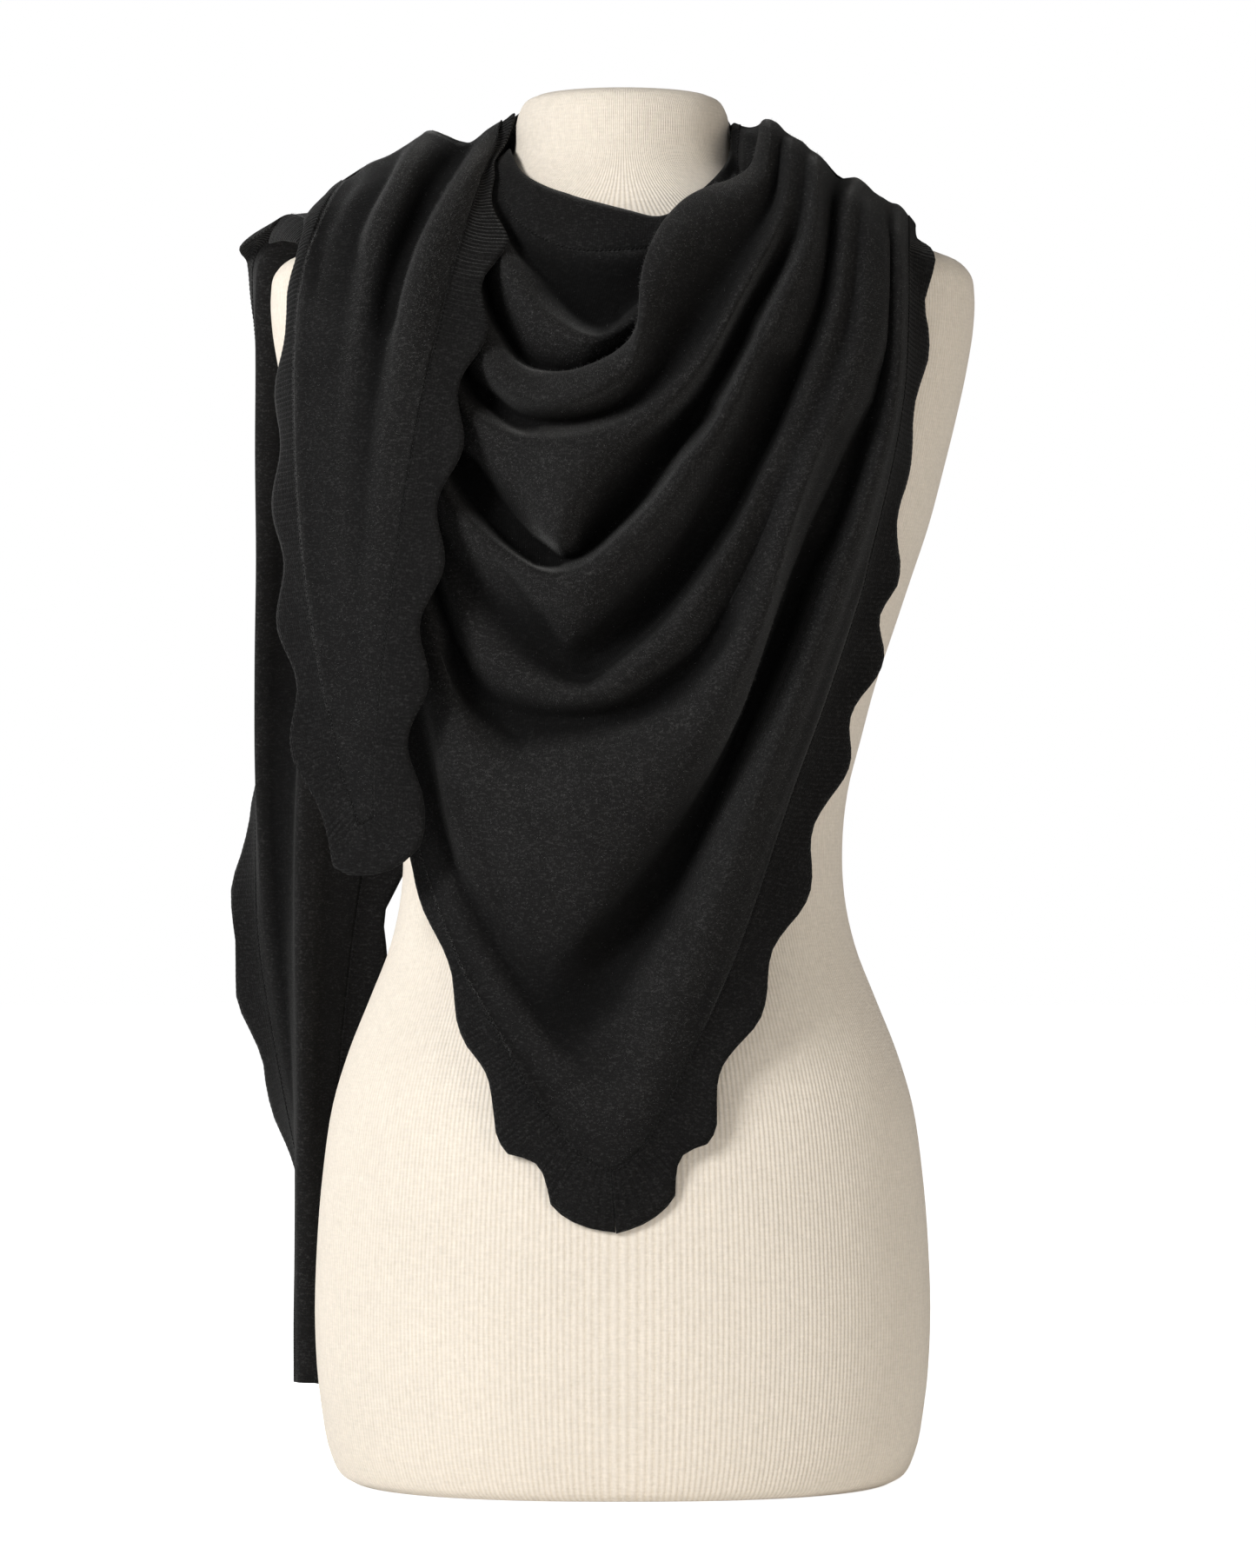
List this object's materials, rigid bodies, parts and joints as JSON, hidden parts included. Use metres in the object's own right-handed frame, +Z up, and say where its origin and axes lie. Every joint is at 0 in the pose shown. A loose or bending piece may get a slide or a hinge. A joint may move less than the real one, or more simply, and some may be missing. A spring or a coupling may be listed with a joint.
{
  "type": "wrap on dress form",
  "caption": "Knitted wrap with scalloped bands wound round a limbless dress form: cowl folds and a hanging point in front, ends over the same shoulder in front and behind.",
  "frame": {"origin": "centre of the dress form's flat base, at the surface it stands on", "axes": "+Z up, the form faces -Y, and +X is on the right for someone who looks at its front"},
  "size_m": [0.4289, 0.2903, 0.7776],
  "materials": {
    "form_jersey": "cream jersey drawn smooth over the form, matte",
    "wrap_knit": "black fine knit with a soft nap",
    "band_rib": "black rib-knit band with a scalloped free edge"
  },
  "bodies": {
    "root": {"dress_form": "form_jersey", "front_panel": "wrap_knit", "front_neck_band": "band_rib", "front_hem_band_right": "band_rib", "front_hem_band_left": "band_rib", "back_panel": "wrap_knit", "back_neck_band": "band_rib", "back_hem_band": "band_rib", "over_panel": "wrap_knit", "over_inner_band": "band_rib", "over_outer_band": "band_rib", "tail_panel": "wrap_knit", "tail_inner_band": "band_rib", "tail_outer_band": "band_rib"}
  },
  "joints": []
}
